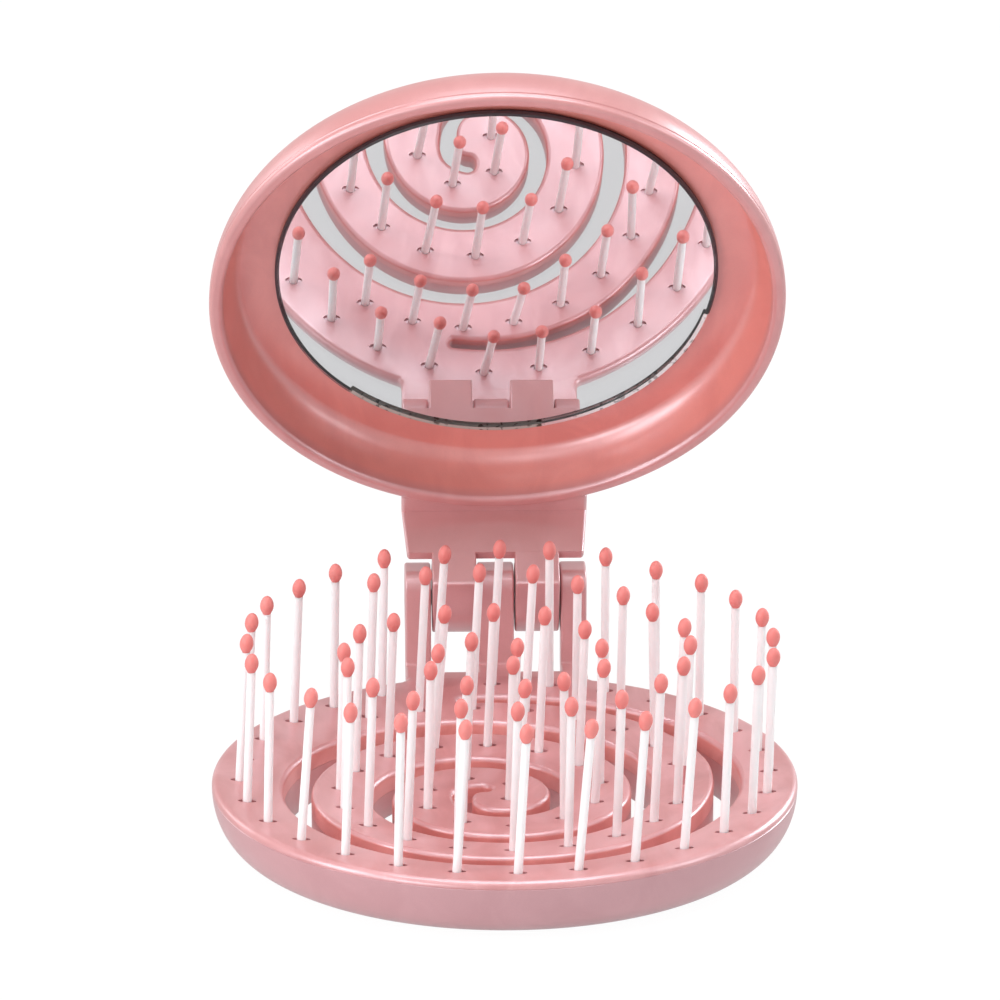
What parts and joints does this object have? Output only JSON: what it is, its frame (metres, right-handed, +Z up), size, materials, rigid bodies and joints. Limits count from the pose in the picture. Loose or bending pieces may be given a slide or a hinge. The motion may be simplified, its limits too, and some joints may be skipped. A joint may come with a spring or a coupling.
{
  "type": "folding hairbrush with mirror",
  "caption": "Round folding pocket hairbrush: a slotted brush half with ball-ended bristles, hinged to a lid half that holds a round mirror.",
  "frame": {"origin": "centre of the flat underside of the brush half, where it rests on a table", "axes": "+Z up out of the bristles, +Y from the user towards the hinge, +X to the right along the hinge axis; stored with the lid open as a standing mirror"},
  "size_m": [0.0884, 0.1091, 0.1124],
  "materials": {
    "pearl_plastic": "pearlescent gloss",
    "nylon": "translucent satin",
    "tip_resin": "satin",
    "pin_steel": "bright drawn",
    "glass": "polished",
    "silvering": "mirror",
    "backing_paint": "matt paint",
    "foam_tape": "matt foam"
  },
  "bodies": {
    "brush": {"brush_plate": "pearl_plastic", "brush_back": "pearl_plastic", "ring_carrier": "pearl_plastic", "spiral_carrier": "pearl_plastic", "ring_bristles": "nylon", "outer_spiral_bristles": "nylon", "inner_spiral_bristles": "nylon", "ring_tips": "tip_resin", "outer_spiral_tips": "tip_resin", "inner_spiral_tips": "tip_resin", "hinge_pin": "pin_steel"},
    "lid": {"lid_frame": "pearl_plastic", "lid_cover": "pearl_plastic", "mirror_glass": "glass", "mirror_silver": "silvering", "mirror_backing": "backing_paint", "mirror_pad": "foam_tape"}
  },
  "joints": [
    {"name": "lid_hinge", "type": "hinge", "parent": "brush", "child": "lid", "pos_m": [0, 0.054, 0.01895], "axis": [-1, 0, 0], "range_deg": [-62.5, 117.5]}
  ]
}
